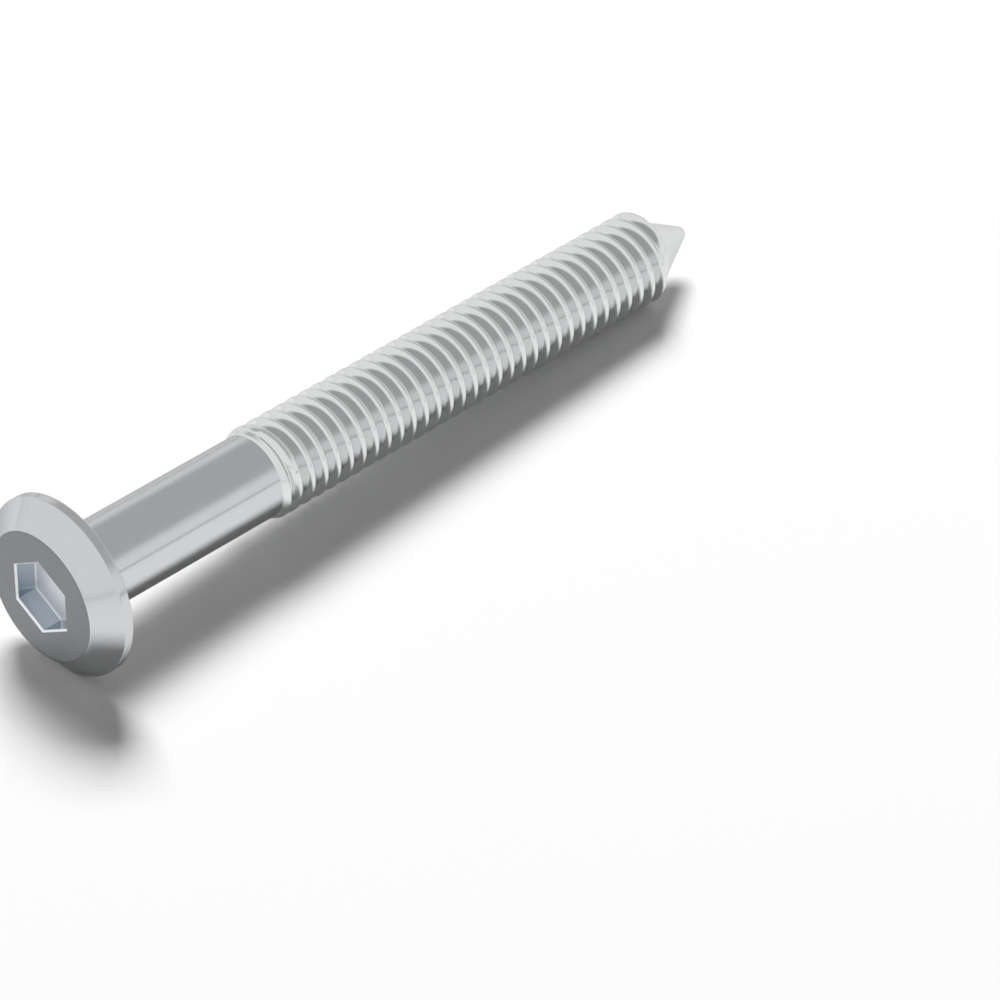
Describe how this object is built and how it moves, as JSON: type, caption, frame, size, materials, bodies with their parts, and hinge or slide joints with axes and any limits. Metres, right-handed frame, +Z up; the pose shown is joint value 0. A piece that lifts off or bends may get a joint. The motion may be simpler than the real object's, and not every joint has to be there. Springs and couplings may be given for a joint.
{
  "type": "hex socket machine screw",
  "caption": "Long steel machine screw with a coned and rimmed head, a hexagon socket, a coned collar, a plain shank, a right-hand thread and a blunt cone point.",
  "frame": {"origin": "middle of the screw's box on the floor that it lies on", "axes": "+X runs along the floor from the head to the point, +Z is up; the screw's own axis dips 3.28 degrees towards the point, because it rests on the rim of its head and on a thread crest near the point"},
  "size_m": [0.0728, 0.0152, 0.0153],
  "materials": {
    "steel": "bright zinc-plated steel, matte on the front of the head"
  },
  "bodies": {
    "root": {"screw": "steel"}
  },
  "joints": []
}
